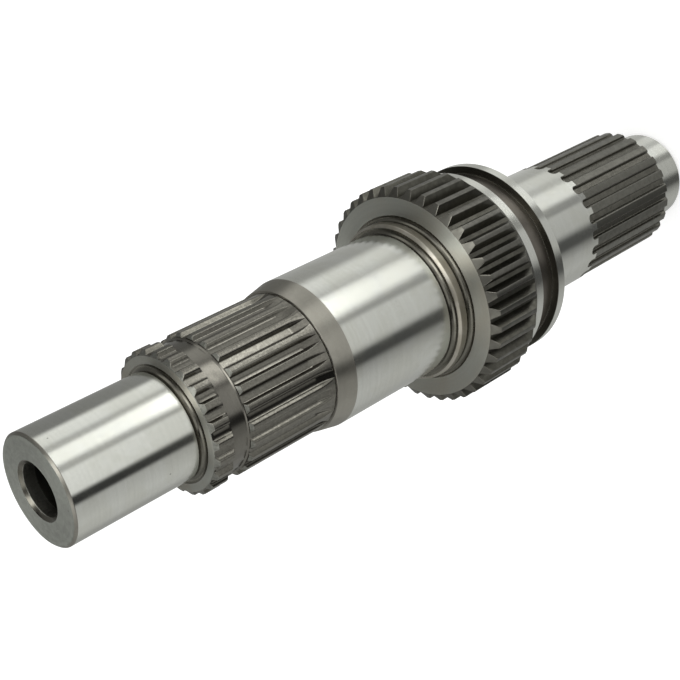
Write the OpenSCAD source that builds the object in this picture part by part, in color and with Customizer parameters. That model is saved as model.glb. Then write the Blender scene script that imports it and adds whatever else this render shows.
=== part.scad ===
// Transmission countershaft, one forged and machined steel piece.
// Millimetres. The shaft stands on its rear end, its axis is Z and the front end is up.
// The origin is the centre of the rear end face.
// The spline and gear teeth with their cutter run-outs, and the half-round relief grooves,
// are cut out of the turned blank below.

/* [Front journal and bore] */
// radius of the ground front journal
front_journal_r = 23.5; // [21:0.1:25]
// length of the front journal from the front face to the front of the short spline
front_journal_len = 59.2; // [30:0.1:90]
// edge chamfer of the front face
front_chamfer = 1; // [0.4:0.1:2]
// radius of the blind bore in the front face
bore_r = 11.2; // [5:0.1:14]
// depth of the full bore
bore_depth = 45; // [20:1:100]
// width of the countersink at the bore mouth
bore_countersink = 1.3; // [0.4:0.1:2]
// angle of the drilled bottom of the bore
drill_angle = 118; // [90:1:140]

/* [Front splines] */
// number of teeth on both front splines
front_spline_teeth = 24; // [24:1:30]
// tip radius of both front splines
front_spline_tip_r = 31.3; // [31:0.1:32]
// depth of the front spline teeth
front_spline_depth = 1.9; // [1.2:0.1:2.1]
// width of the flat top of a front spline tooth
front_spline_land = 2.35; // [1.5:0.05:2.6]
// width of the floor between two front spline teeth
front_spline_floor = 3; // [2.2:0.05:3.4]
// length of the short spline
short_spline_len = 9.8; // [6:0.1:14]
// radius where the lead-in of the short spline starts on its front face
short_spline_lead_r = 29; // [28:0.1:29.8]
// length of the lead-in at the tooth tips of the short spline
short_spline_lead = 1.4; // [0.8:0.1:2.4]
// chamfer at the rear of the short teeth and at the front of the long teeth
tooth_end_chamfer = 1.1; // [0.5:0.1:1.5]
// length of the turned neck between the splines
neck_len = 8; // [5:0.5:12]
// how far the neck lies below the floor of the teeth
neck_drop = 0.6; // [0.3:0.1:1]
// length of the long spline up to its end groove
long_spline_len = 44.8; // [30:0.1:60]
// radius of the disc cutter that leaves the run-outs
front_cutter_r = 24; // [18:1:32]

/* [Cone and middle journal] */
// width of the end groove of the long spline
end_groove_w = 0.5; // [0.4:0.1:1.2]
// depth of that groove below the tooth tips
end_groove_depth = 0.9; // [0.3:0.1:1.2]
// small radius of the cone
cone_r = 32.1; // [31.8:0.1:32.8]
// length of the cone
cone_len = 9.1; // [5:0.1:12]
// radius of the ground middle journal
middle_journal_r = 33.95; // [33:0.05:35]
// length of the middle journal up to the taper
middle_journal_len = 60.1; // [40:0.1:80]
// length of the taper between the middle journal and the collar
taper_len = 1.3; // [0.8:0.1:2]
// radius where the taper starts
taper_r = 35.4; // [35:0.1:36]
// radius of the ground collar before the gear
collar_r = 37.25; // [36.5:0.05:38]
// length of the collar from the taper to the gear face
collar_len = 6.1; // [5:0.1:9]

/* [Gear] */
// number of gear teeth
gear_teeth = 40; // [36:1:44]
// tip radius of the gear
gear_tip_r = 52; // [51:0.1:53]
// depth of the gear teeth
gear_depth = 3.9; // [3:0.1:4.2]
// width of the flat top of a gear tooth
gear_land = 2.1; // [1.6:0.05:2.4]
// width of the floor between two gear teeth
gear_floor = 2.1; // [1.4:0.05:2.6]
// length of the toothed rim from its front face to the shoulder ring
gear_w = 33.4; // [24:0.1:40]
// length of the chamfer at the front end of the gear teeth
gear_front_chamfer = 2.75; // [1.5:0.05:3.5]
// how far that chamfer ends below the floor of the teeth
gear_chamfer_drop = 0.2; // [0:0.1:1]
// length of the chamfer at the rear end of the gear teeth
gear_rear_chamfer = 6.2; // [2:0.1:7]
// turn of the gear teeth against the front spline in degrees
gear_turn = 1.9; // [0:0.1:8.9]

/* [Shoulder ring, groove and flange] */
// length of the smooth shoulder ring behind the gear
ring_w = 4.8; // [3:0.1:9]
// radius of the shoulder ring
ring_r = 47.2; // [46.5:0.1:47.6]
// width of the wide groove
groove_w = 11.2; // [8:0.1:15]
// radius of the floor of the wide groove
groove_r = 43.4; // [41:0.1:45]
// radius of the flange
flange_r = 47; // [46:0.1:48]
// width of the flange
flange_w = 5.2; // [4:0.1:8]
// chamfer of the rear edge of the flange
flange_chamfer = 0.6; // [0.3:0.1:1]

/* [Rear journal and rear spline] */
// radius of the ground rear journal
rear_journal_r = 30.8; // [30.2:0.1:31.4]
// length of the rear journal
rear_journal_len = 47.9; // [35:0.1:60]
// number of teeth on the rear spline
rear_spline_teeth = 24; // [20:1:26]
// how far the rear spline tips lie below the rear journal
rear_spline_drop = 0.4; // [0.1:0.05:0.6]
// depth of the rear spline teeth
rear_spline_depth = 1.7; // [1.2:0.1:2.2]
// width of the flat top of a rear spline tooth
rear_spline_land = 3.85; // [3.2:0.05:4.2]
// width of the floor between two rear spline teeth
rear_spline_floor = 3.2; // [2.6:0.05:3.5]
// length of the rear spline
rear_spline_len = 61.2; // [40:0.1:80]
// how far the round ends of the rear tooth spaces reach into the rear journal
rear_runout_len = 4.2; // [3:0.1:6]
// chamfer at the rear end of the rear spline
rear_spline_chamfer = 0.8; // [0.4:0.1:1.4]
// turn of the rear spline against the front spline in degrees
rear_spline_turn = -3.9; // [-15:0.1:0]

/* [Rear pilot] */
// radius of the rear pilot
pilot_r = 22.75; // [20:0.05:26]
// length of the rear pilot
pilot_len = 23.2; // [14:0.1:32]
// chamfer at the rear end of the pilot
pilot_chamfer = 1; // [0.5:0.1:3]
// radius of the centre hole in the rear face at its mouth
centre_mouth_r = 5.3; // [4:0.1:7]
// radius of the drilled part of the centre hole
centre_drill_r = 2.5; // [1.5:0.1:3.5]
// depth of the centre hole
centre_depth = 10; // [8:0.5:14]

/* [Relief grooves] */
// radius of the half-round relief grooves
relief_r = 1.75; // [1.2:0.05:1.9]
// how deep the relief grooves lie below their journals
relief_depth = 0.65; // [0.4:0.05:0.8]
// distance from a shoulder face to the centre of its relief groove
relief_back = 1.35; // [1:0.05:1.5]

/* [Hidden] */
$fn = 96;
over = 1;
centre_angle = 60;
// how far the run-outs reach past the end of the long teeth, over the end groove
runout_past = 0.15;
// how much further the disc cutter turns than it needs to leave the tooth, in degrees
runout_clearance = 0.3;

// heights of the shoulders, from the rear end face upwards
z_rear_spline = pilot_len;
z_rear_journal = z_rear_spline + rear_spline_len;
z_flange = z_rear_journal + rear_journal_len;
z_groove = z_flange + flange_w;
z_ring = z_groove + groove_w;
z_gear = z_ring + ring_w;
z_collar = z_gear + gear_w;
z_taper = z_collar + collar_len;
z_middle = z_taper + taper_len;
z_cone = z_middle + middle_journal_len;
z_end_groove = z_cone + cone_len;
z_long = z_end_groove + end_groove_w;
z_neck = z_long + long_spline_len;
z_short = z_neck + neck_len;
z_front_journal = z_short + short_spline_len;
z_front = z_front_journal + front_journal_len;

front_root_r = front_spline_tip_r - front_spline_depth;
neck_r = front_root_r - neck_drop;
rear_tip_r = rear_journal_r - rear_spline_drop;
rear_root_r = rear_tip_r - rear_spline_depth;
gear_root_r = gear_tip_r - gear_depth;
chamfer_foot_r = gear_root_r - gear_chamfer_drop;
end_groove_r = front_spline_tip_r - end_groove_depth;
rear_chamfer_r = rear_tip_r - rear_spline_chamfer;
front_face_r = front_journal_r - front_chamfer;
pilot_face_r = pilot_r - pilot_chamfer;
relief_offset = relief_r - relief_depth;

// width of a tooth space at the tip circle
front_space = 2 * PI * front_spline_tip_r / front_spline_teeth - front_spline_land;
gear_space = 2 * PI * gear_tip_r / gear_teeth - gear_land;
rear_space = 2 * PI * rear_tip_r / rear_spline_teeth - rear_spline_land;

// half of the turned blank, radius to the right and height upwards
module blank_outline() {
  polygon([
    [0, 0],
    [pilot_face_r, 0],
    [pilot_r, pilot_chamfer],
    [pilot_r, z_rear_spline],
    [rear_chamfer_r, z_rear_spline],
    [rear_tip_r, z_rear_spline + rear_spline_chamfer],
    [rear_tip_r, z_rear_journal],
    [rear_journal_r, z_rear_journal],
    [rear_journal_r, z_flange],
    [flange_r - flange_chamfer, z_flange],
    [flange_r, z_flange + flange_chamfer],
    [flange_r, z_groove],
    [groove_r, z_groove],
    [groove_r, z_ring],
    [ring_r, z_ring],
    [ring_r, z_gear],
    [gear_tip_r, z_gear + gear_rear_chamfer],
    [gear_tip_r, z_collar - gear_front_chamfer],
    [chamfer_foot_r, z_collar],
    [collar_r, z_collar],
    [collar_r, z_taper],
    [taper_r, z_middle],
    [middle_journal_r, z_middle],
    [middle_journal_r, z_cone],
    [cone_r, z_end_groove],
    [end_groove_r, z_end_groove],
    [end_groove_r, z_long],
    [front_spline_tip_r, z_long],
    [front_spline_tip_r, z_neck - tooth_end_chamfer],
    [front_root_r + neck_drop, z_neck],
    [front_root_r, z_neck],
    [neck_r, z_neck + neck_drop],
    [neck_r, z_short],
    [front_root_r, z_short],
    [front_spline_tip_r, z_short + tooth_end_chamfer],
    [front_spline_tip_r, z_front_journal - short_spline_lead],
    [short_spline_lead_r, z_front_journal],
    [front_journal_r, z_front_journal],
    [front_journal_r, z_front - front_chamfer],
    [front_face_r, z_front],
    [0, z_front],
  ]);
}

// half-round relief between a journal of radius r and the shoulder at height z,
// side is 1 where the journal lies above the shoulder and -1 where it lies below
module relief(r, z, side) {
  translate([r + relief_offset, z + side * relief_back])
    circle(r = relief_r);
}

module turned_blank() {
  rotate_extrude()
    difference() {
      blank_outline();
      relief(front_journal_r, z_front_journal, 1);
      relief(middle_journal_r, z_middle, 1);
      relief(collar_r, z_collar, 1);
      relief(rear_journal_r, z_flange, -1);
    }
}

// blind bore with a countersunk mouth and a drilled bottom
module front_bore() {
  drill_len = bore_r / tan(drill_angle / 2);
  sink_r = bore_r + bore_countersink + over;
  rotate_extrude()
    polygon([
      [0, z_front - bore_depth - drill_len],
      [bore_r, z_front - bore_depth],
      [bore_r, z_front - bore_countersink],
      [sink_r, z_front + over],
      [0, z_front + over],
    ]);
}

// centre hole that the shaft is ground on, in the rear face
module rear_centre() {
  cone_depth = (centre_mouth_r - centre_drill_r) / tan(centre_angle / 2);
  point = centre_drill_r / tan(drill_angle / 2);
  rotate_extrude()
    polygon([
      [0, -over],
      [centre_mouth_r + over * tan(centre_angle / 2), -over],
      [centre_drill_r, cone_depth],
      [centre_drill_r, centre_depth - point],
      [0, centre_depth],
    ]);
}

// section of one tooth space, floor_w wide at root_r, space_w wide at tip_r and running on to out_r
module space_section(root_r, tip_r, floor_w, space_w, out_r) {
  slope = (space_w - floor_w) / (tip_r - root_r) / 2;
  out_w = floor_w + 2 * slope * (out_r - root_r);
  polygon([
    [root_r, -floor_w / 2],
    [out_r, -out_w / 2],
    [out_r, out_w / 2],
    [root_r, floor_w / 2],
  ]);
}

module front_space_section() {
  out_r = front_spline_tip_r + over;
  space_section(front_root_r, front_spline_tip_r, front_spline_floor, front_space, out_r);
}

// one space of the front splines, cut straight from the front and left on the arc of the cutter
module front_space_cut() {
  section_r = front_root_r + front_cutter_r;
  runout = sqrt(2 * front_cutter_r * front_spline_depth - pow(front_spline_depth, 2));
  z_full = z_long - runout_past + runout;
  sweep = acos((front_cutter_r - front_spline_depth) / front_cutter_r) + runout_clearance;
  translate([0, 0, z_full])
    linear_extrude(height = z_front_journal - z_full + over)
      front_space_section();
  translate([section_r, 0, z_full])
    rotate([90, 0, 0])
      rotate([0, 0, 180])
        rotate_extrude(angle = sweep)
          translate([section_r, 0])
            mirror([1, 0])
              front_space_section();
}

module front_spline_cuts() {
  step = 360 / front_spline_teeth;
  for (i = [0:front_spline_teeth - 1])
    rotate([0, 0, step * (i + 0.5)])
      front_space_cut();
}

module gear_cuts() {
  step = 360 / gear_teeth;
  for (i = [0:gear_teeth - 1])
    rotate([0, 0, step * (i + 0.5) + gear_turn])
      translate([0, 0, z_gear - over])
        linear_extrude(height = gear_w + 2 * over)
          space_section(gear_root_r, gear_tip_r, gear_floor, gear_space, gear_tip_r + over);
}

// one space of the rear spline, its upper end round like the tool that made it
module rear_space_cut() {
  out_r = rear_journal_r + over;
  z_end = z_rear_journal + rear_runout_len - rear_space / 2;
  translate([0, 0, z_rear_spline - over])
    linear_extrude(height = z_end - z_rear_spline + over)
      space_section(rear_root_r, rear_tip_r, rear_spline_floor, rear_space, out_r);
  translate([0, 0, z_end])
    rotate([0, 90, 0])
      rotate([0, 0, 90])
        rotate_extrude(angle = 180)
          intersection() {
            rotate([0, 0, 90])
              space_section(rear_root_r, rear_tip_r, rear_spline_floor, rear_space, out_r);
            square([out_r, out_r]);
          }
}

module rear_spline_cuts() {
  step = 360 / rear_spline_teeth;
  for (i = [0:rear_spline_teeth - 1])
    rotate([0, 0, step * (i + 0.5) + rear_spline_turn])
      rear_space_cut();
}

module countershaft() {
  color([0.62, 0.62, 0.6])
    difference() {
      turned_blank();
      front_bore();
      rear_centre();
      front_spline_cuts();
      gear_cuts();
      rear_spline_cuts();
    }
}

countershaft();
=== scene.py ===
import math

import bmesh
import bpy
import numpy as np
from mathutils import Matrix, Vector


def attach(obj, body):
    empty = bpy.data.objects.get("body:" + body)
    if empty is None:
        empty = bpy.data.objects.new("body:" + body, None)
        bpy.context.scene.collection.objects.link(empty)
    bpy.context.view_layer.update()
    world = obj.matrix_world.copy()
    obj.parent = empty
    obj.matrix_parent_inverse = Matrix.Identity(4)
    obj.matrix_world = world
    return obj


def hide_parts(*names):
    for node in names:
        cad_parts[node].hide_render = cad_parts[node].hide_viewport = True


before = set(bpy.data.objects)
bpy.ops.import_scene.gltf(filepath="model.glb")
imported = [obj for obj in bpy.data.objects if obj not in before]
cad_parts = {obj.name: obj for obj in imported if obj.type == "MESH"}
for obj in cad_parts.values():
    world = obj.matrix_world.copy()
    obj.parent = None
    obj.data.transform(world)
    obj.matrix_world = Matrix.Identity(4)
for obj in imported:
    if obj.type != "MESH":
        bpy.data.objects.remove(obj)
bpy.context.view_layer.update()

mm = 0.001

grid = {
    "columns": 360,  # points round every ring, a whole number of them to each tooth
    "cornerShare": 0.35,  # most of an outline's line that a broken corner takes
    "toothShare": 0.3,  # most of a tooth's height that its edge or its fillet takes
    "fadeWidth": 0.4,  # mm, a space narrower than this loses its belly and pull
    "hairline": 0.01,  # mm, the least half width of a space
    "seam": 0.05,  # mm, how far one stretch stands off the next where they meet
    "merge": 2e-6,  # metres, points closer than this become one
    "sharpAngle": 37,  # degrees, faces that meet more steeply keep a crisp edge
}
columns = grid["columns"]

# ---- camera, as the photograph sees the shaft standing on its rear end

view = {
    "place": (0.4552, 0.01828, 0.5702),
    "azimuth": 2.6,  # degrees round the shaft from +X
    "elevation": 36.558,  # how steeply it looks down
    "roll": -117.718,
    "lens": 69.156,
    "sensor": 36.0,
}


def makeCamera():
    # the look direction comes from azimuth and elevation, then the picture is rolled about it
    azimuth, elevation = math.radians(view["azimuth"]), math.radians(view["elevation"])
    back = Vector((
        math.cos(elevation) * math.cos(azimuth),
        math.cos(elevation) * math.sin(azimuth),
        math.sin(elevation),
    ))
    turn = back.to_track_quat("Z", "Y").to_matrix()
    right = Vector((0, 0, 1)).cross(back).normalized()
    up = back.cross(right)
    turn = Matrix((right, up, back)).transposed() @ Matrix.Rotation(math.radians(view["roll"]), 3, "Z")
    data = bpy.data.cameras.new("camera")
    data.lens = view["lens"]
    data.sensor_width = view["sensor"]
    camera = bpy.data.objects.new("camera", data)
    camera.matrix_world = Matrix.Translation(view["place"]) @ turn.to_4x4()
    bpy.context.scene.collection.objects.link(camera)
    bpy.context.scene.camera = camera


makeCamera()
print("camera placed")

# ---- shaft sizes in millimetres, heights from the rear end face

shaft = {
    "centreMouth": 5.3, "centreDrill": 2.5, "centreDepth": 10.0, "centreAngle": 60.0, "drillAngle": 118.0,
    "pilotRadius": 22.75, "pilotLength": 23.2, "pilotChamfer": 1.0,
    "rearSplineLength": 61.2, "rearJournalRadius": 30.8, "rearJournalLength": 47.9,
    "flangeWidth": 5.2, "flangeRadius": 47.0, "flangeChamfer": 0.6,
    "grooveWidth": 11.2, "grooveRadius": 43.4, "grooveFillet": 0.5, "grooveFilletStep": 0.15,
    "ringWidth": 4.8, "ringRadius": 47.2,
    "gearWidth": 33.4, "gearRearChamfer": 6.2, "gearFrontChamfer": 2.75, "gearChamferDrop": 0.2,
    "gearFootDrop": 0.15, "pilotFaceDrop": 0.4, "journalStart": 0.3,
    "collarLength": 6.1, "collarRadius": 37.25, "taperLength": 1.3, "taperRadius": 35.4,
    "middleJournalLength": 60.1, "middleJournalRadius": 33.95, "coneLength": 9.1, "coneRadius": 32.1,
    "endGrooveWidth": 0.5, "endGrooveDepth": 0.9, "endGrooveCurve": ((0.9, 0.08), (0.35, 0.22)),
    "longSplineLength": 44.8, "neckLength": 8.0, "neckDrop": 0.6, "toothEndChamfer": 1.1,
    "shortSplineLength": 9.8, "shortLead": 1.4, "shortLeadRadius": 29.0,
    "frontJournalLength": 59.2, "frontJournalRadius": 23.5, "frontChamfer": 1.0,
    # the last of these is the depth below the mouth past which the bore is painted darker, for the shade deeper inside
    "boreRadius": 11.2, "boreDepth": 45.0, "boreCountersink": 1.3, "boreShadeDepth": 6.5,
    "reliefRadius": 1.75, "reliefDepth": 0.65, "reliefBack": 1.35,
    "edge": 0.18,  # how far a sharp turned edge is broken
}

frontTeeth = {
    "count": 24, "tip": 31.3, "depth": 1.9, "land": 2.35, "floor": 3.0, "turn": 0.0,
    "cutter": 24.0, "runoutPast": 0.15, "edge": 0.16, "fillet": 0.25, "pull": 0.2, "bulge": 0.09,
    "flankSteps": 4, "landSteps": (0.0, 0.6),
}

gearTeeth = {
    "count": 40, "tip": 52.0, "depth": 3.9, "land": 2.1, "floor": 2.1, "turn": 1.9,
    "edge": 0.2, "fillet": 1.7, "pull": 0.15, "bulge": 0.17, "flankSteps": 2, "landSteps": (0.0,),
}

rearTeeth = {
    "count": 24, "tip": 30.4, "depth": 1.7, "land": 3.85, "floor": 3.2, "turn": -3.9,
    "runout": 4.2, "chamfer": 0.8, "edge": 0.3, "fillet": 0.3, "pull": 0.3, "bulge": 0.08,
    "flankSteps": 4, "landSteps": (0.0, 0.6),
}

pilotTop = shaft["pilotLength"]
rearSplineTop = pilotTop + shaft["rearSplineLength"]
flangeFoot = rearSplineTop + shaft["rearJournalLength"]
grooveFoot = flangeFoot + shaft["flangeWidth"]
ringFoot = grooveFoot + shaft["grooveWidth"]
gearFoot = ringFoot + shaft["ringWidth"]
gearTop = gearFoot + shaft["gearWidth"]
taperFoot = gearTop + shaft["collarLength"]
middleFoot = taperFoot + shaft["taperLength"]
coneFoot = middleFoot + shaft["middleJournalLength"]
coneTop = coneFoot + shaft["coneLength"]
longFoot = coneTop + shaft["endGrooveWidth"]
longTop = longFoot + shaft["longSplineLength"]
shortFoot = longTop + shaft["neckLength"]
shortTop = shortFoot + shaft["shortSplineLength"]
frontFace = shortTop + shaft["frontJournalLength"]

# the finishes, in the order of the mesh's material slots
finishes = [
    "ground", "collar", "turned", "neck", "relief", "face", "frontFace", "groove", "wall", "bore", "chamfer",
    "land", "edge", "flank", "floor", "toothEnd", "rearLand", "rearFlank", "gearLand", "gearFlank", "tongue",
]


def ringAngles(turn):
    # even angles round the axis, set half a step on so that they fall in with the teeth
    return np.radians(turn) + (np.arange(columns) + 0.5) * 2 * np.pi / columns


def brokenCorners(points, edges):
    # each corner P becomes a curve from A, a little before it, to B, a little after it: the points
    # (1 - t)^2 A + 2 t (1 - t) P + t^2 B at t = 0, 1/3, 2/3 and 1
    before = np.diff(points, axis=0)[:-1]
    after = np.diff(points, axis=0)[1:]
    lengthBefore = np.linalg.norm(before, axis=1)
    lengthAfter = np.linalg.norm(after, axis=1)
    reach = np.minimum(edges[1:-1], grid["cornerShare"] * np.minimum(lengthBefore, lengthAfter))
    corner = points[1:-1][:, None]
    first = corner - (before * (reach / lengthBefore)[:, None])[:, None]
    last = corner + (after * (reach / lengthAfter)[:, None])[:, None]
    step = np.linspace(0, 1, 4)[None, :, None]
    return (1 - step) ** 2 * first + 2 * step * (1 - step) * corner + step ** 2 * last


def turnedRings(outline, turns):
    # a turned stretch: every outline point (radius, height) becomes one ring, with broken corners
    points = np.array([p[:2] for p in outline], float)
    edges = np.array([shaft["edge"] if len(p) < 4 else p[3] for p in outline], float)
    names = [p[2] for p in outline]
    inner = brokenCorners(points, edges)
    radii, heights, surfaces = [points[0, 0]], [points[0, 1]], []
    for i, corner in enumerate(inner):
        kept = corner if edges[i + 1] > 0 else corner[:1]
        radii.extend(kept[:, 0])
        heights.extend(kept[:, 1])
        surfaces.extend([names[i]] + [names[i + 1]] * (len(kept) - 1))
    radii.append(points[-1, 0])
    heights.append(points[-1, 1])
    surfaces.append(names[-2])
    radii, heights = np.array(radii), np.array(heights)
    angles = np.stack([ringAngles(t) for t in np.linspace(turns[0], turns[1], len(radii))])
    x = radii[:, None] * np.cos(angles)
    y = radii[:, None] * np.sin(angles)
    z = np.repeat(heights[:, None], columns, axis=1)
    index = np.array([finishes.index(s) for s in surfaces])
    return np.stack([x, y, z], axis=2), np.repeat(index[:, None], columns, axis=1)


def reliefOutline(journal, shoulder, side, points=11):
    # half-round relief, an arc of radius R about (journal + R - depth, shoulder + side * back), from
    # where it leaves the journal round its bottom to where it leaves the shoulder face
    radius = shaft["reliefRadius"]
    across = radius - shaft["reliefDepth"]
    back = shaft["reliefBack"]
    fromJournal = math.atan2(math.sqrt(radius ** 2 - across ** 2), -across)
    toFace = 2 * math.pi - math.asin(back / radius)
    sweep = np.linspace(fromJournal, toFace, points)
    if side > 0:
        sweep = sweep[::-1]
    r = journal + across + radius * np.cos(sweep)
    z = shoulder + side * (back + radius * np.sin(sweep))
    return [(a, b, "relief", 0.0) for a, b in zip(r, z)]


def spaceSlope(teeth):
    # how much half a tooth space widens for each millimetre outwards
    space = 2 * math.pi * teeth["tip"] / teeth["count"] - teeth["land"]
    return (space - teeth["floor"]) / teeth["depth"] / 2


def frontSpace():
    # the disc cutter leaves the shaft on an arc about (section, zFull): below zFull a point at X has
    # been cut as if it lay at section - sqrt((section - X)^2 + (zFull - Z)^2)
    root = frontTeeth["tip"] - frontTeeth["depth"]
    section = root + frontTeeth["cutter"]
    rise = math.sqrt(2 * frontTeeth["cutter"] * frontTeeth["depth"] - frontTeeth["depth"] ** 2)
    zFull = longFoot - frontTeeth["runoutPast"] + rise
    slope = spaceSlope(frontTeeth)

    def floor(z):
        return section - np.sqrt(frontTeeth["cutter"] ** 2 - np.maximum(zFull - z, 0) ** 2)

    def half(x, z):
        cut = section - np.sqrt((section - x) ** 2 + np.maximum(zFull - z, 0) ** 2)
        return frontTeeth["floor"] / 2 + slope * (cut - root)

    return floor, half, zFull


def gearSpace():
    # straight spaces: the half width grows evenly from the floor outwards
    root = gearTeeth["tip"] - gearTeeth["depth"]
    slope = spaceSlope(gearTeeth)

    def floor(z):
        return root + 0 * z

    def half(x, z):
        return gearTeeth["floor"] / 2 + slope * (x - root) + 0 * z

    return floor, half


def rearSpace():
    # above zEnd the space is the half of a cone about the radial line at zEnd: its half width is
    # sqrt(width(X)^2 - (Z - zEnd)^2), and its floor climbs that cone once the width is used up
    root = rearTeeth["tip"] - rearTeeth["depth"]
    slope = spaceSlope(rearTeeth)
    space = rearTeeth["floor"] + 2 * slope * rearTeeth["depth"]
    zEnd = rearSplineTop + rearTeeth["runout"] - space / 2
    zTop = zEnd + rearTeeth["floor"] / 2 + slope * (shaft["rearJournalRadius"] - root)

    def floor(z):
        return root + np.maximum(z - zEnd - rearTeeth["floor"] / 2, 0) / slope

    def half(x, z):
        width = rearTeeth["floor"] / 2 + slope * (x - root)
        return np.sqrt(np.maximum(width ** 2 - np.maximum(z - zEnd, 0) ** 2, (2 * grid["hairline"]) ** 2))

    return floor, half, zEnd, zTop


def toothRings(teeth, floorAt, halfAt, heights, lands):
    # rings through one row of teeth. Seen from the middle of a space, X runs outwards and Y across:
    # the floor lies at X = floor(Z), a flank at Y = half(X, Z) less a slight belly, bulge * 4 s (1 - s)
    # with s its share of the depth, and the land on X^2 + Y^2 = land^2
    z = np.array(heights, float)[:, None]
    land = np.array(lands, float)[:, None]
    floor = floorAt(z)
    y = halfAt(land, z)
    for again in range(5):
        y = halfAt(np.sqrt(land ** 2 - y ** 2), z)
    top = np.sqrt(land ** 2 - y ** 2)
    depth = np.maximum(top - floor, 0)
    edge = np.minimum(teeth["edge"], grid["toothShare"] * depth)
    fillet = np.minimum(teeth["fillet"], grid["toothShare"] * depth)
    share = np.linspace(0, 1, teeth["flankSteps"])[None, :]
    flankX = floor + fillet + (depth - fillet - edge) * share
    s = (flankX - floor) / np.maximum(depth, 1e-3)
    full = np.clip(depth / teeth["depth"], 0, 1) * np.clip(halfAt(floor, z) / grid["fadeWidth"], 0, 1)
    flankY = halfAt(flankX, z) - teeth["bulge"] * full * 4 * s * (1 - s)
    floorY = np.maximum(halfAt(floor, z) - teeth["pull"] * full, grid["hairline"])
    pitchHalf = math.pi / teeth["count"]
    start = np.arctan2(y, top) + edge / land
    angle = start + (pitchHalf - start) * np.array(teeth["landSteps"])[None, :]
    x = np.hstack([floor, floor, flankX, land * np.cos(angle)])
    y = np.hstack([0 * floor, floorY, flankY, land * np.sin(angle)])
    x = np.hstack([x[:, :0:-1], x])
    y = np.hstack([-y[:, :0:-1], y])
    middle = math.radians(teeth["turn"]) + (np.arange(teeth["count"]) + 0.5) * 2 * pitchHalf
    cos, sin = np.cos(middle)[None, :, None], np.sin(middle)[None, :, None]
    ringX = (x[:, None, :] * cos - y[:, None, :] * sin).reshape(len(z), columns)
    ringY = (x[:, None, :] * sin + y[:, None, :] * cos).reshape(len(z), columns)
    return np.stack([ringX, ringY, np.repeat(z, columns, axis=1)], axis=2)


def toothFinish(teeth, bands):
    # finish of every face in a row of teeth: each band names its land, edge, flank and floor, which
    # follow each other from the middle of a space to the middle of a tooth, mirrored and repeated
    half = [3, 3] + [2] * (teeth["flankSteps"] - 1) + [1] + [0] * (len(teeth["landSteps"]) - 1)
    row = np.tile(np.array(half[::-1] + half + [0]), teeth["count"])
    table = np.array([[finishes.index(name) for name in band] for band in bands])
    return table[:, row]


def along(start, end, steps):
    # even steps from start to end
    return np.linspace(start, end, steps)


def rearEnd():
    # centre hole, rear face and pilot
    coneDepth = (shaft["centreMouth"] - shaft["centreDrill"]) / math.tan(math.radians(shaft["centreAngle"] / 2))
    point = shaft["centreDrill"] / math.tan(math.radians(shaft["drillAngle"] / 2))
    pilot = shaft["pilotRadius"]
    root = rearTeeth["tip"] - rearTeeth["depth"]
    return turnedRings([
        (0, shaft["centreDepth"], "bore", 0),
        (shaft["centreDrill"], shaft["centreDepth"] - point, "bore"),
        (shaft["centreDrill"], coneDepth, "bore"),
        (shaft["centreMouth"], 0, "face"),
        (pilot - shaft["pilotChamfer"], 0, "turned"),
        (pilot, shaft["pilotChamfer"], "ground"),
        (pilot, pilotTop, "face"),
        (root - shaft["pilotFaceDrop"], pilotTop, "face"),
    ], (rearTeeth["turn"], rearTeeth["turn"]))


def rearSpline():
    # the spaces from the pilot to their half-round ends in the journal, whose heights follow the sine
    # so that the steps are even along the round
    floor, half, zEnd, zTop = rearSpace()
    tip, journal = rearTeeth["tip"], shaft["rearJournalRadius"]
    roundHeights = zEnd + (zTop - zEnd) * np.sin(np.radians(along(0, 88, 10)))
    heights = [pilotTop, pilotTop + rearTeeth["chamfer"], rearSplineTop, rearSplineTop, *roundHeights]
    lands = [tip - rearTeeth["chamfer"], tip, tip, journal] + [journal] * len(roundHeights)
    rings = toothRings(rearTeeth, floor, half, heights, lands)
    teeth = ("rearLand", "rearLand", "rearFlank", "rearFlank")
    ends = ("ground", "rearFlank", "rearFlank", "rearFlank")
    return rings, toothFinish(rearTeeth, [teeth] * 3 + [ends] * (len(rings) - 4))


def rearJournalToGear():
    # turned outline of the rear journal, its relief, the flange, the wide groove and the shoulder ring,
    # up to the foot of the gear teeth's rear chamfer
    journal, flange = shaft["rearJournalRadius"], shaft["flangeRadius"]
    chamferSlope = (gearTeeth["tip"] - shaft["ringRadius"]) / shaft["gearRearChamfer"]
    foot = gearTeeth["tip"] - gearTeeth["depth"] - shaft["gearFootDrop"]
    groove, fillet, step = shaft["grooveRadius"], shaft["grooveFillet"], shaft["grooveFilletStep"]
    relief = reliefOutline(journal, flangeFoot, -1)
    return turnedRings([
        (journal, rearSpace()[3] + shaft["journalStart"], "ground", 0),
        *relief[:-1],
        (*relief[-1][:2], "turned", 0),
        (flange - shaft["flangeChamfer"], flangeFoot, "relief"),
        (flange, flangeFoot + shaft["flangeChamfer"], "ground"),
        # the groove's two walls take the dark wall finish, which paints the shade in the groove
        (flange, grooveFoot, "wall"),
        # the groove's inner corner takes the lighter edge finish: a painted highlight line
        (groove + fillet, grooveFoot, "edge", 0),
        (groove + step, grooveFoot + step, "edge", 0),
        (groove, grooveFoot + fillet, "groove", 0),
        (groove, ringFoot, "wall"),
        (shaft["ringRadius"], ringFoot, "ground"),
        (shaft["ringRadius"], gearFoot, "tongue"),
        (foot, gearFoot + (foot - shaft["ringRadius"]) / chamferSlope, "tongue"),
    ], (rearTeeth["turn"], gearTeeth["turn"]))


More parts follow.
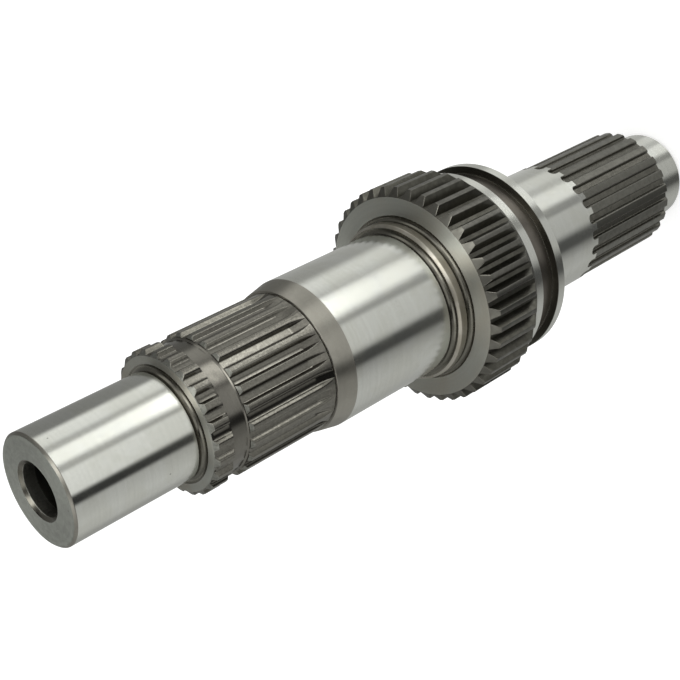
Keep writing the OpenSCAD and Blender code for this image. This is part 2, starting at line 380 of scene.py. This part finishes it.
def gearRim():
    # the rim's lands climb the rear chamfer in five rings, run level, and fall down the front chamfer
    floor, half = gearSpace()
    tip, ring = gearTeeth["tip"], shaft["ringRadius"]
    root = tip - gearTeeth["depth"]
    low = root + grid["seam"]
    rearLands = along(low, tip, 5)
    rearHeights = gearFoot + (rearLands - ring) * shaft["gearRearChamfer"] / (tip - ring)
    frontLands = along(tip, low, 5)
    chamferFoot = root - shaft["gearChamferDrop"]
    frontHeights = gearTop - (frontLands - chamferFoot) * shaft["gearFrontChamfer"] / (tip - chamferFoot)
    heights = [*rearHeights, *frontHeights]
    rings = toothRings(gearTeeth, floor, half, heights, [*rearLands, *frontLands])
    teeth = ("gearLand", "gearLand", "gearFlank", "gearFlank")
    ends = ("tongue", "tongue", "gearFlank", "gearFlank")
    # the lighter edge finish at the lands' edges on the front chamfer is a painted highlight along them
    frontEnds = ("tongue", "edge", "gearFlank", "gearFlank")
    return rings, toothFinish(gearTeeth, [ends] * 4 + [teeth] + [frontEnds] * 4)


def gearToCone():
    # turned outline of the gear's front face, its relief, the collar, the taper, the second relief, the
    # middle journal, the cone and the rounded drop into the end groove
    foot = gearTeeth["tip"] - gearTeeth["depth"] - shaft["gearChamferDrop"]
    collar, middle = shaft["collarRadius"], shaft["middleJournalRadius"]
    gearRelief = reliefOutline(collar, gearTop, 1)
    collarRelief = reliefOutline(middle, middleFoot, 1)
    endGroove = frontTeeth["tip"] - shaft["endGrooveDepth"]
    endCurve = [(endGroove + out, coneTop + up, "chamfer", 0) for out, up in shaft["endGrooveCurve"]]
    return turnedRings([
        (foot + grid["seam"], gearTop - 0.03, "face", 0),
        (foot, gearTop, "face", grid["seam"]),
        *gearRelief[:-1],
        (*gearRelief[-1][:2], "collar", 0),
        (collar, taperFoot, "collar"),
        (shaft["taperRadius"], middleFoot, "relief"),
        *collarRelief[:-1],
        (*collarRelief[-1][:2], "ground", 0),
        (middle, coneFoot, "turned"),
        (shaft["coneRadius"], coneTop, "chamfer"),
        *endCurve,
        (endGroove + grid["seam"], longFoot, "chamfer", 0),
    ], (gearTeeth["turn"], frontTeeth["turn"]))


def longSpline():
    # the run-out's heights follow the sine, closer together where the cutter's arc meets the full depth
    floor, half, zFull = frontSpace()
    tip = frontTeeth["tip"]
    root = tip - frontTeeth["depth"]
    runout = zFull - (zFull - longFoot) * np.sin(np.radians(along(90, 0, 12)))
    chamfer = shaft["toothEndChamfer"]
    lowLand = root + shaft["neckDrop"]
    heights = [*runout, longTop - chamfer, longTop]
    lands = [tip] * len(runout) + [tip, lowLand]
    rings = toothRings(frontTeeth, floor, half, heights, lands)
    teeth = ("land", "edge", "flank", "floor")
    ends = ("toothEnd", "edge", "flank", "floor")
    return rings, toothFinish(frontTeeth, [teeth] * (len(rings) - 2) + [ends])


def neck():
    # turned outline, one step below the floors of the teeth
    root = frontTeeth["tip"] - frontTeeth["depth"]
    drop = shaft["neckDrop"]
    return turnedRings([
        (root - grid["seam"], longTop, "neck", 0),
        (root - drop, longTop + drop, "neck"),
        (root - drop, shortFoot, "neck"),
        (root - grid["seam"], shortFoot, "neck", 0),
    ], (frontTeeth["turn"], frontTeeth["turn"]))


def shortSpline():
    # the lands climb the rear chamfer in three rings and fall down the front lead in four
    floor, half = frontSpace()[:2]
    tip, lead = frontTeeth["tip"], shaft["shortLeadRadius"]
    root = tip - frontTeeth["depth"]
    low = root + grid["seam"]
    rearLands = along(low, tip, 3)
    rearHeights = shortFoot + (rearLands - root) * shaft["toothEndChamfer"] / (tip - root)
    frontLands = along(tip, low, 4)
    frontHeights = shortTop - (frontLands - lead) * shaft["shortLead"] / (tip - lead)
    rings = toothRings(frontTeeth, floor, half, [*rearHeights, *frontHeights], [*rearLands, *frontLands])
    teeth = ("land", "edge", "flank", "floor")
    ends = ("toothEnd", "edge", "flank", "floor")
    return rings, toothFinish(frontTeeth, [ends] * 2 + [teeth] + [ends] * 3)


def frontEnd():
    # turned outline of the short spline's end, its relief, the front journal, the front face and the
    # bore down to its drilled point
    low = frontTeeth["tip"] - frontTeeth["depth"] - grid["seam"]
    lead = (frontTeeth["tip"] - shaft["shortLeadRadius"]) / shaft["shortLead"]
    journal, bore = shaft["frontJournalRadius"], shaft["boreRadius"]
    relief = reliefOutline(journal, shortTop, 1)
    point = bore / math.tan(math.radians(shaft["drillAngle"] / 2))
    mouth = bore + shaft["boreCountersink"]
    boreFoot = frontFace - shaft["boreDepth"]
    return turnedRings([
        (low, shortTop - (low - shaft["shortLeadRadius"]) / lead, "toothEnd", 0),
        (shaft["shortLeadRadius"], shortTop, "face"),
        *relief[:-1],
        (*relief[-1][:2], "ground", 0),
        (journal, frontFace - shaft["frontChamfer"], "chamfer"),
        (journal - shaft["frontChamfer"], frontFace, "frontFace"),
        (mouth, frontFace, "relief"),
        (bore, frontFace - shaft["boreCountersink"], "bore"),
        # below this depth the bore takes the dark wall finish: painted shade deeper in the bore, lighter near the mouth
        (bore - grid["seam"], frontFace - shaft["boreShadeDepth"], "wall"),
        (bore - grid["seam"], boreFoot, "wall"),
        (0, boreFoot - point, "wall", 0),
    ], (frontTeeth["turn"], frontTeeth["turn"]))


def buildShaft():
    # the stretches follow each other from the rear hole's point to the bottom of the front bore, and
    # each is joined to the next by one more band
    stretches = [
        rearEnd(), rearSpline(), rearJournalToGear(), gearRim(), gearToCone(),
        longSpline(), neck(), shortSpline(), frontEnd(),
    ]
    joins = ["rearFlank", "ground", "tongue", "tongue", "chamfer", "neck", "neck", "toothEnd"]
    rings = np.concatenate([s[0] for s in stretches]) * mm
    bands = []
    for i, (points, finish) in enumerate(stretches):
        bands.append(finish)
        if i < len(joins):
            bands.append(np.full((1, columns), finishes.index(joins[i])))
    bands = np.concatenate(bands)
    count = len(rings)
    low = np.arange(count - 1)[:, None] * columns + np.arange(columns)[None, :]
    lowNext = np.arange(count - 1)[:, None] * columns + (np.arange(columns)[None, :] + 1) % columns
    quads = np.stack([low, lowNext, lowNext + columns, low + columns], axis=2).reshape(-1, 4)
    mesh = bpy.data.meshes.new("shaft")
    mesh.from_pydata(rings.reshape(-1, 3), [], quads)
    mesh.polygons.foreach_set("material_index", bands.reshape(-1).astype(np.int32))
    mesh.update()
    work = bmesh.new()
    work.from_mesh(mesh)
    bmesh.ops.remove_doubles(work, verts=work.verts, dist=grid["merge"])
    bmesh.ops.dissolve_degenerate(work, edges=work.edges, dist=1e-7)
    if work.calc_volume(signed=True) < 0:
        bmesh.ops.reverse_faces(work, faces=work.faces)
    work.to_mesh(mesh)
    work.free()
    mesh.polygons.foreach_set("use_smooth", np.ones(len(mesh.polygons), bool))
    mesh.set_sharp_from_angle(angle=math.radians(grid["sharpAngle"]))
    piece = bpy.data.objects.new("shaft", mesh)
    bpy.context.scene.collection.objects.link(piece)
    weighted = piece.modifiers.new("even shading", "WEIGHTED_NORMAL")
    weighted.mode = "FACE_AREA"
    weighted.keep_sharp = True
    print("shaft:", count, "rings,", len(mesh.polygons), "faces")
    return piece


shaftPiece = buildShaft()
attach(shaftPiece, "root")
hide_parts("countershaft")

# ---- finishes: bare steel throughout, told apart by how each face was cut; some are also painted darker for shade or lighter for a highlight, as marked

finishLooks = {
    # colour and stained colour of the bare steel, which on the finishes marked below also carries painted shade,
    # and on edge a painted highlight, its roughness and how much that wanders, the marks of the tool (per
    # millimetre round and along the shaft, and their depth in micrometres), how much they shade the colour, the
    # share and size (mm) of the stains, and how far the gloss is drawn out
    "ground": {"colour": (0.76, 0.765, 0.73), "stain": (0.71, 0.71, 0.655), "roughness": 0.13, "wander": 0.04,
               "round": 0.015, "along": 2.4, "depth": 0.35, "shade": 0.015, "stained": 0.6, "size": 14.0, "drawn": 0.6},
    "collar": {"colour": (0.49, 0.465, 0.415), "stain": (0.38, 0.35, 0.29), "roughness": 0.3, "wander": 0.05,
               "round": 0.02, "along": 2.0, "depth": 0.6, "shade": 0.02, "stained": 0.7, "size": 9.0, "drawn": 0.6},
    "turned": {"colour": (0.38, 0.365, 0.325), "stain": (0.345, 0.33, 0.295), "roughness": 0.32, "wander": 0.05,
               "round": 0.02, "along": 1.6, "depth": 1.2, "shade": 0.03, "stained": 0.7, "size": 9.0, "drawn": 0.6},
    "neck": {"colour": (0.215, 0.205, 0.183), "stain": (0.185, 0.176, 0.157), "roughness": 0.16, "wander": 0.04,
             "round": 0.02, "along": 1.8, "depth": 0.8, "shade": 0.03, "stained": 0.7, "size": 9.0, "drawn": 0.5},
    # painted shade: relief is darker than the turned faces round it, for the shade in the relief grooves, the
    # countersink and the flange's rear chamfer
    "relief": {"colour": (0.21, 0.20, 0.174), "stain": (0.155, 0.148, 0.124), "roughness": 0.2, "wander": 0.06,
               "round": 0.02, "along": 2.5, "depth": 1.0, "shade": 0.03, "stained": 0.7, "size": 8.0, "drawn": 0.4},
    "face": {"colour": (0.45, 0.455, 0.42), "stain": (0.45, 0.425, 0.37), "roughness": 0.43, "wander": 0.05,
             "round": 0.02, "along": 1.2, "depth": 2.0, "shade": 0.03, "stained": 0.8, "size": 30.0, "drawn": 0.9},
    "frontFace": {"colour": (0.36, 0.37, 0.342), "stain": (0.32, 0.33, 0.303), "roughness": 0.42, "wander": 0.08,
                  "round": 0.03, "along": 1.7, "depth": 3.0, "shade": 0.06, "stained": 0.8, "size": 2.5, "drawn": 0.3},
    # partly painted shade: groove is brown turned steel, made darker than the other turned faces for the shade in the
    # wide groove behind the gear
    "groove": {"colour": (0.21, 0.19, 0.17), "stain": (0.17, 0.155, 0.135), "roughness": 0.28, "wander": 0.05,
               "round": 0.02, "along": 1.8, "depth": 1.2, "shade": 0.04, "stained": 0.6, "size": 10.0, "drawn": 0.5},
    # painted shade: the wall finish is dark for the shade on the groove's two walls and deep inside the bore
    "wall": {"colour": (0.13, 0.127, 0.108), "stain": (0.095, 0.092, 0.077), "roughness": 0.30, "wander": 0.05,
             "round": 0.02, "along": 1.8, "depth": 1.2, "shade": 0.04, "stained": 0.6, "size": 10.0, "drawn": 0.5},
    "bore": {"colour": (0.40, 0.40, 0.365), "stain": (0.24, 0.235, 0.21), "roughness": 0.3, "wander": 0.10,
             "round": 0.04, "along": 1.6, "depth": 5.0, "shade": 0.08, "stained": 0.9, "size": 3.0, "drawn": 0.0},
    "chamfer": {"colour": (0.35, 0.335, 0.30), "stain": (0.28, 0.268, 0.24), "roughness": 0.3, "wander": 0.05,
                "round": 0.02, "along": 1.8, "depth": 1.2, "shade": 0.03, "stained": 0.6, "size": 10.0, "drawn": 0.4},
    "land": {"colour": (0.225, 0.215, 0.191), "stain": (0.19, 0.182, 0.161), "roughness": 0.18, "wander": 0.05,
             "round": 1.8, "along": 0.06, "depth": 1.8, "shade": 0.12, "stained": 0.6, "size": 1.5, "drawn": 0.3},
    # painted highlight: edge is lighter than the gear's tongues and the groove's dark walls, for the bright lines along
    # the gear teeth's front edges and the groove's inner corner; on the splines it is about as dark as the lands
    "edge": {"colour": (0.22, 0.211, 0.187), "stain": (0.18, 0.172, 0.152), "roughness": 0.2, "wander": 0.05,
             "round": 0.3, "along": 0.3, "depth": 1.0, "shade": 0.03, "stained": 0.6, "size": 5.0, "drawn": 0.0},
    # painted shade: flank is darker than land, for the shade on the flanks between the spline teeth
    "flank": {"colour": (0.16, 0.153, 0.134), "stain": (0.125, 0.12, 0.105), "roughness": 0.13, "wander": 0.04,
              "round": 2.0, "along": 0.05, "depth": 1.6, "shade": 0.12, "stained": 0.6, "size": 1.5, "drawn": 0.2},
    "floor": {"colour": (0.19, 0.182, 0.161), "stain": (0.16, 0.152, 0.135), "roughness": 0.1, "wander": 0.03,
              "round": 2.4, "along": 0.05, "depth": 1.4, "shade": 0.12, "stained": 0.6, "size": 1.5, "drawn": 0.2},
    "toothEnd": {"colour": (0.30, 0.30, 0.275), "stain": (0.21, 0.21, 0.19), "roughness": 0.42, "wander": 0.06,
                 "round": 0.1, "along": 1.5, "depth": 1.6, "shade": 0.04, "stained": 0.8, "size": 1.5, "drawn": 0.5},
    "rearLand": {"colour": (0.205, 0.20, 0.178), "stain": (0.155, 0.151, 0.135), "roughness": 0.27, "wander": 0.07,
                 "round": 0.9, "along": 0.1, "depth": 1.6, "shade": 0.06, "stained": 0.7, "size": 2.5, "drawn": 0.2},
    # painted shade: rearFlank is a little darker than rearLand, for the shade between the rear spline's teeth
    "rearFlank": {"colour": (0.19, 0.183, 0.16), "stain": (0.125, 0.12, 0.105), "roughness": 0.22, "wander": 0.05,
                  "round": 1.4, "along": 0.05, "depth": 1.2, "shade": 0.05, "stained": 0.6, "size": 3.0, "drawn": 0.2},
    "gearLand": {"colour": (0.185, 0.18, 0.163), "stain": (0.135, 0.131, 0.117), "roughness": 0.28, "wander": 0.06,
                 "round": 0.5, "along": 0.3, "depth": 1.5, "shade": 0.05, "stained": 0.7, "size": 3.0, "drawn": 0.2},
    # painted shade: gearFlank is darker than gearLand, for the shade in the spaces between the gear teeth
    "gearFlank": {"colour": (0.135, 0.131, 0.113), "stain": (0.095, 0.092, 0.078), "roughness": 0.28, "wander": 0.06,
                  "round": 0.2, "along": 1.0, "depth": 2.0, "shade": 0.05, "stained": 0.7, "size": 3.0, "drawn": 0.0},
    "tongue": {"colour": (0.165, 0.16, 0.142), "stain": (0.125, 0.121, 0.107), "roughness": 0.3, "wander": 0.05,
               "round": 0.05, "along": 1.8, "depth": 1.2, "shade": 0.03, "stained": 0.7, "size": 5.0, "drawn": 0.5},
}


# the patterns that all finishes share: lengths in millimetres, edges as levels of the noise
markLook = {"outlineTilt": 1.7, "broad": 0.25, "bandEdges": (0.35, 0.65)}
stainLook = {"edges": (0.38, 0.62), "grain": 1.3, "grainEdges": (0.3, 0.7)}
nickLook = {"spacing": 9.0, "core": 0.03, "rim": 0.055, "missing": 0.7, "darkening": 0.4}


def addNode(tree, kind, inputs=None, **settings):
    # a node with its settings, and each input set to a number or linked to another node's output
    made = tree.nodes.new(kind)
    for name, value in settings.items():
        setattr(made, name, value)
    for name, value in (inputs or {}).items():
        if isinstance(value, bpy.types.NodeSocket):
            tree.links.new(value, made.inputs[name])
        else:
            made.inputs[name].default_value = value
    return made


def newGroup(name, inputs, outputs):
    # an empty shader node group with named number sockets
    tree = bpy.data.node_groups.new(name, "ShaderNodeTree")
    for label, value in inputs.items():
        tree.interface.new_socket(label, in_out="INPUT", socket_type="NodeSocketFloat").default_value = value
    for label in outputs:
        tree.interface.new_socket(label, in_out="OUTPUT", socket_type="NodeSocketFloat")
    return tree, tree.nodes.new("NodeGroupInput"), tree.nodes.new("NodeGroupOutput")


def millimetres(tree):
    # the place on the shaft in millimetres, its radius, and its reach along the turned outline
    place = addNode(tree, "ShaderNodeTexCoord")
    point = addNode(tree, "ShaderNodeVectorMath", {0: place.outputs["Object"], "Scale": 1 / mm}, operation="SCALE")
    flat = addNode(tree, "ShaderNodeVectorMath", {0: point.outputs[0], 1: (1, 1, 0)}, operation="MULTIPLY")
    radius = addNode(tree, "ShaderNodeVectorMath", {0: flat.outputs[0]}, operation="LENGTH")
    parts = addNode(tree, "ShaderNodeSeparateXYZ", {0: point.outputs[0]})
    reach = addNode(tree, "ShaderNodeMath", {
        0: radius.outputs["Value"], 1: markLook["outlineTilt"], 2: parts.outputs["Z"]}, operation="MULTIPLY_ADD")
    return point, parts, reach


def makeToolMarks():
    # lines that the tool left: noise drawn out round the shaft for turning and grinding, or along it
    # for milling, by how often it changes per millimetre each way
    tree, given, result = newGroup("toolMarks", {"Round": 0.02, "Along": 2.0}, ["Height", "Bands"])
    point, parts, reach = millimetres(tree)
    x = addNode(tree, "ShaderNodeMath", {0: parts.outputs["X"], 1: given.outputs["Round"]}, operation="MULTIPLY")
    y = addNode(tree, "ShaderNodeMath", {0: parts.outputs["Y"], 1: given.outputs["Round"]}, operation="MULTIPLY")
    z = addNode(tree, "ShaderNodeMath", {0: reach.outputs[0], 1: given.outputs["Along"]}, operation="MULTIPLY")
    spread = addNode(tree, "ShaderNodeCombineXYZ", {0: x.outputs[0], 1: y.outputs[0], 2: z.outputs[0]})
    fine = addNode(tree, "ShaderNodeTexNoise", {"Vector": spread.outputs[0], "Scale": 1.0, "Detail": 3.0, "Roughness": 0.6})
    broad = addNode(tree, "ShaderNodeTexNoise", {
        "Vector": spread.outputs[0], "Scale": markLook["broad"], "Detail": 1.0})
    low, high = markLook["bandEdges"]
    bands = addNode(tree, "ShaderNodeMapRange", {"Value": broad.outputs["Fac"], "From Min": low, "From Max": high})
    tree.links.new(fine.outputs["Fac"], result.inputs["Height"])
    tree.links.new(bands.outputs["Result"], result.inputs["Bands"])
    return tree


def makeStains():
    # oil film and heat tint in soft patches, with a finer grain over it
    tree, given, result = newGroup("stains", {"Size": 10.0}, ["Mask", "Grain"])
    point, parts, reach = millimetres(tree)
    finer = addNode(tree, "ShaderNodeMath", {0: 1.0, 1: given.outputs["Size"]}, operation="DIVIDE")
    patches = addNode(tree, "ShaderNodeTexNoise", {
        "Vector": point.outputs[0], "Scale": finer.outputs[0], "Detail": 4.0, "Roughness": 0.55, "Distortion": 0.4})
    low, high = stainLook["edges"]
    mask = addNode(tree, "ShaderNodeMapRange", {
        "Value": patches.outputs["Fac"], "From Min": low, "From Max": high}, interpolation_type="SMOOTHSTEP")
    grain = addNode(tree, "ShaderNodeTexNoise", {
        "Vector": point.outputs[0], "Scale": stainLook["grain"], "Detail": 2.0})
    low, high = stainLook["grainEdges"]
    level = addNode(tree, "ShaderNodeMapRange", {"Value": grain.outputs["Fac"], "From Min": low, "From Max": high})
    tree.links.new(mask.outputs["Result"], result.inputs["Mask"])
    tree.links.new(level.outputs["Result"], result.inputs["Grain"])
    return tree


def makeNicks():
    # a few small dark pits and handling marks, one in some of the cells of a scatter
    tree, given, result = newGroup("nicks", {"Spacing": nickLook["spacing"]}, ["Mask"])
    point, parts, reach = millimetres(tree)
    often = addNode(tree, "ShaderNodeMath", {0: 1.0, 1: given.outputs["Spacing"]}, operation="DIVIDE")
    cells = addNode(tree, "ShaderNodeTexVoronoi", {"Vector": point.outputs[0], "Scale": often.outputs[0]})
    spot = addNode(tree, "ShaderNodeMapRange", {
        "Value": cells.outputs["Distance"], "From Min": nickLook["core"], "From Max": nickLook["rim"],
        "To Min": 1.0, "To Max": 0.0})
    chance = addNode(tree, "ShaderNodeSeparateXYZ", {0: cells.outputs["Color"]})
    some = addNode(tree, "ShaderNodeMath", {
        0: chance.outputs["X"], 1: nickLook["missing"]}, operation="GREATER_THAN")
    mask = addNode(tree, "ShaderNodeMath", {0: spot.outputs["Result"], 1: some.outputs[0]}, operation="MULTIPLY")
    tree.links.new(mask.outputs[0], result.inputs["Mask"])
    return tree


toolMarks, stains, nicks = makeToolMarks(), makeStains(), makeNicks()


def makeFinish(name):
    # bare metal: the stains tint it, bands and grain shade it, pits darken it, the marks roughen it
    look = finishLooks[name]
    material = bpy.data.materials.new(name)
    material.use_nodes = True
    tree = material.node_tree
    shader = tree.nodes["Principled BSDF"]
    shader.inputs["Metallic"].default_value = 1.0
    marks = addNode(tree, "ShaderNodeGroup", node_tree=toolMarks)
    marks.inputs["Round"].default_value = look["round"]
    marks.inputs["Along"].default_value = look["along"]
    film = addNode(tree, "ShaderNodeGroup", node_tree=stains)
    film.inputs["Size"].default_value = look["size"]
    pits = addNode(tree, "ShaderNodeGroup", node_tree=nicks)

    share = addNode(tree, "ShaderNodeMath", {0: film.outputs["Mask"], 1: look["stained"]}, operation="MULTIPLY")
    colour = addNode(tree, "ShaderNodeMix", {
        "Factor": share.outputs[0], "A": (*look["colour"], 1), "B": (*look["stain"], 1)}, data_type="RGBA")
    low, high = 1 - look["shade"], 1 + look["shade"]
    streak = addNode(tree, "ShaderNodeMapRange", {"Value": marks.outputs["Bands"], "To Min": low, "To Max": high})
    grain = addNode(tree, "ShaderNodeMapRange", {"Value": film.outputs["Grain"], "To Min": low, "To Max": high})
    shade = addNode(tree, "ShaderNodeMath", {0: streak.outputs["Result"], 1: grain.outputs["Result"]}, operation="MULTIPLY")
    pitted = addNode(tree, "ShaderNodeMath", {
        0: pits.outputs["Mask"], 1: -nickLook["darkening"], 2: 1.0}, operation="MULTIPLY_ADD")
    shade = addNode(tree, "ShaderNodeMath", {0: shade.outputs[0], 1: pitted.outputs[0]}, operation="MULTIPLY")
    shaded = addNode(tree, "ShaderNodeVectorMath", {
        0: colour.outputs["Result"], "Scale": shade.outputs[0]}, operation="SCALE")
    tree.links.new(shaded.outputs[0], shader.inputs["Base Color"])

    uneven = addNode(tree, "ShaderNodeMath", {
        0: film.outputs["Mask"], 1: look["wander"], 2: look["roughness"]}, operation="MULTIPLY_ADD")
    lined = addNode(tree, "ShaderNodeMath", {
        0: marks.outputs["Height"], 1: look["wander"] * 0.5, 2: uneven.outputs[0]}, operation="MULTIPLY_ADD")
    tree.links.new(lined.outputs[0], shader.inputs["Roughness"])

    bump = addNode(tree, "ShaderNodeBump", {"Height": marks.outputs["Height"], "Distance": look["depth"] * 1e-6 * 4})
    tree.links.new(bump.outputs["Normal"], shader.inputs["Normal"])

    # the marks run round the shaft, so the gloss is drawn out across them
    place = addNode(tree, "ShaderNodeTexCoord")
    around = addNode(tree, "ShaderNodeVectorMath", {0: (0, 0, 1), 1: place.outputs["Object"]}, operation="CROSS_PRODUCT")
    tree.links.new(around.outputs[0], shader.inputs["Tangent"])
    shader.inputs["Anisotropic"].default_value = look["drawn"]
    shader.inputs["Anisotropic Rotation"].default_value = 0.25
    return material


for finish in finishes:
    shaftPiece.data.materials.append(makeFinish(finish))
print("finishes made:", len(finishes))

# ---- studio: a white floor, a tent of upright panels round the shaft and one soft lamp above

tent = {
    # each row lists (degrees round the shaft from the camera, brightness) where a panel begins or ends;
    # the upper row stands just under the horizon, the lower row near the floor
    "upper": [
        (-180, 0.42), (-165, 0.30), (-150, 0.24), (-102, 0.22), (-92, 0.92), (-70, 0.86), (-62, 0.50), (-54, 0.50),
        (-49, 1.14), (-28, 1.14), (-20, 0.46), (-12, 0.46), (-7, 0.86), (32, 0.80), (39, 0.04), (52, 0.03),
        (58, 0.46), (98, 0.56), (125, 0.50), (142, 0.34), (160, 0.32), (180, 0.60),
    ],
    "lower": [
        (-180, 0.62), (-108, 0.46), (-102, 0.74), (-80, 0.72), (-72, 0.54), (-62, 0.56), (-57, 0.89), (-33, 0.86),
        (-24, 0.30), (-13, 0.28), (-8, 0.49), (27, 0.44), (40, 0.09), (57, 0.08), (64, 0.22), (80, 0.40),
        (104, 0.46), (135, 0.40), (160, 0.42), (180, 0.62),
    ],
    # a small bright lamp panel between the two rows: its width, and the heights where it fades in and out
    "lamp": [(-180, 0.0), (-62, 0.0), (-54, 4.0), (-24, 4.0), (-15, 0.0), (180, 0.0)],
    "lampHeights": (-0.574, -0.560, -0.518, -0.508),
    # the ceiling's panels fan out from the place that the end faces mirror, by the angle about it
    "ceiling": [
        (-180, 0.18), (-125, 1.5), (-98, 1.2), (-78, 0.30), (-65, 0.03), (-38, 0.05), (-25, 0.35), (-17, 3.0), (-7, 3.0),
        (3, 0.40), (14, 0.06), (25, 1.25), (42, 1.0), (56, 0.35), (75, 0.02), (100, 0.02), (180, 0.18),
    ],
    "fan": 0.766,
    "upperHeights": (-0.73, -0.44),  # where the lower row gives way to the upper one
    "ceilingHeights": (0.60, 0.74),  # and the upper row to the ceiling
    "tint": (0.99, 1.0, 0.965),
    "plain": 0.55,  # the even level that lights the floor
}


def panelRow(tree, x, y, row):
    # the row's ramp, by how far the direction (x, y) is turned from the camera
    angle = addNode(tree, "ShaderNodeMath", {0: y, 1: x}, operation="ARCTAN2")
    turned = addNode(tree, "ShaderNodeMath", {0: math.radians(view["azimuth"]), 1: angle.outputs[0]}, operation="SUBTRACT")
    wrapped = addNode(tree, "ShaderNodeMath", {0: turned.outputs[0], 1: math.pi, 2: -math.pi}, operation="WRAP")
    spread = addNode(tree, "ShaderNodeMapRange", {
        "Value": wrapped.outputs[0], "From Min": -math.pi, "From Max": math.pi})
    ramp = addNode(tree, "ShaderNodeValToRGB", {"Fac": spread.outputs["Result"]})
    stops = ramp.color_ramp.elements
    for i, (degrees, level) in enumerate(tent[row]):
        stop = stops[0] if i == 0 else stops[-1] if i == len(tent[row]) - 1 else stops.new((degrees + 180) / 360)
        stop.position = (degrees + 180) / 360
        stop.color = (*(level * share for share in tent["tint"]), 1)
    return ramp.outputs["Color"]


def makeWorld():
    # what the steel mirrors is the tent, what lights the floor is an even level, and the camera sees white
    world = bpy.data.worlds.new("tent")
    world.use_nodes = True
    bpy.context.scene.world = world
    tree = world.node_tree
    tree.nodes.clear()
    place = addNode(tree, "ShaderNodeTexCoord")
    parts = addNode(tree, "ShaderNodeSeparateXYZ", {0: place.outputs["Generated"]})
    x, y = parts.outputs["X"], parts.outputs["Y"]
    azimuth = math.radians(view["azimuth"])
    mirrored = addNode(tree, "ShaderNodeVectorMath", {
        0: place.outputs["Generated"], 1: (tent["fan"] * math.cos(azimuth), tent["fan"] * math.sin(azimuth), 0)})
    fanned = addNode(tree, "ShaderNodeSeparateXYZ", {0: mirrored.outputs[0]})
    layers = [
        (panelRow(tree, x, y, "upper"), tent["upperHeights"]),
        (panelRow(tree, fanned.outputs["X"], fanned.outputs["Y"], "ceiling"), tent["ceilingHeights"]),
    ]
    studio = panelRow(tree, x, y, "lower")
    low, fullLow, fullHigh, high = tent["lampHeights"]
    over = addNode(tree, "ShaderNodeMapRange", {"Value": parts.outputs["Z"], "From Min": low, "From Max": fullLow})
    under = addNode(tree, "ShaderNodeMapRange", {"Value": parts.outputs["Z"], "From Min": high, "From Max": fullHigh})
    lamp = addNode(tree, "ShaderNodeVectorMath", {
        0: panelRow(tree, x, y, "lamp"), "Scale": over.outputs["Result"]}, operation="SCALE")
    lamp = addNode(tree, "ShaderNodeVectorMath", {0: lamp.outputs[0], "Scale": under.outputs["Result"]}, operation="SCALE")
    for row, (start, end) in layers:
        height = addNode(tree, "ShaderNodeMapRange", {"Value": parts.outputs["Z"], "From Min": start, "From Max": end})
        studio = addNode(tree, "ShaderNodeMix", {
            "Factor": height.outputs["Result"], "A": studio, "B": row}, data_type="RGBA").outputs["Result"]
    studio = addNode(tree, "ShaderNodeVectorMath", {0: studio, 1: lamp.outputs[0]}, operation="MAXIMUM").outputs[0]
    path = addNode(tree, "ShaderNodeLightPath")
    glossy = addNode(tree, "ShaderNodeMath", {
        0: path.outputs["Is Glossy Ray"], 1: path.outputs["Is Transmission Ray"]}, operation="MAXIMUM")
    level = tent["plain"]
    lit = addNode(tree, "ShaderNodeMix", {
        "Factor": glossy.outputs[0], "A": (level, level, level, 1), "B": studio}, data_type="RGBA")
    seen = addNode(tree, "ShaderNodeMix", {
        "Factor": path.outputs["Is Camera Ray"], "A": lit.outputs["Result"], "B": (1, 1, 1, 1)}, data_type="RGBA")
    background = addNode(tree, "ShaderNodeBackground", {"Color": seen.outputs["Result"]})
    addNode(tree, "ShaderNodeOutputWorld", {"Surface": background.outputs[0]})


floorLook = {"size": 8.0, "colour": 0.8, "glow": 0.52}


def makeFloor():
    # a flat sheet that looks white and keeps the shadow; the steel mirrors the tent in its place
    half = floorLook["size"] / 2
    mesh = bpy.data.meshes.new("floor")
    mesh.from_pydata([(-half, -half, 0), (half, -half, 0), (half, half, 0), (-half, half, 0)], [], [(0, 1, 2, 3)])
    floor = bpy.data.objects.new("floor", mesh)
    bpy.context.scene.collection.objects.link(floor)
    material = bpy.data.materials.new("whiteFloor")
    material.use_nodes = True
    tree = material.node_tree
    shader = tree.nodes["Principled BSDF"]
    level = floorLook["colour"]
    shader.inputs["Base Color"].default_value = (level, level, level, 1)
    shader.inputs["Roughness"].default_value = 1.0
    shader.inputs["Specular IOR Level"].default_value = 0.0
    shader.inputs["Emission Color"].default_value = (1, 1, 1, 1)
    path = addNode(tree, "ShaderNodeLightPath")
    glow = addNode(tree, "ShaderNodeMath", {
        0: path.outputs["Is Camera Ray"], 1: floorLook["glow"]}, operation="MULTIPLY")
    tree.links.new(glow.outputs[0], shader.inputs["Emission Strength"])
    mesh.materials.append(material)
    floor.visible_glossy = False


lampLook = {"size": 2.0, "height": 1.6, "power": 16.0}


def makeLamp():
    data = bpy.data.lights.new("softbox", "AREA")
    data.shape = "SQUARE"
    data.size = lampLook["size"]
    data.energy = lampLook["power"]
    lamp = bpy.data.objects.new("softbox", data)
    lamp.location = (0, 0, lampLook["height"])
    lamp.visible_camera = False
    lamp.visible_glossy = False
    bpy.context.scene.collection.objects.link(lamp)


makeWorld()
makeFloor()
makeLamp()
bpy.context.scene.view_settings.view_transform = "Standard"
print("studio lit")
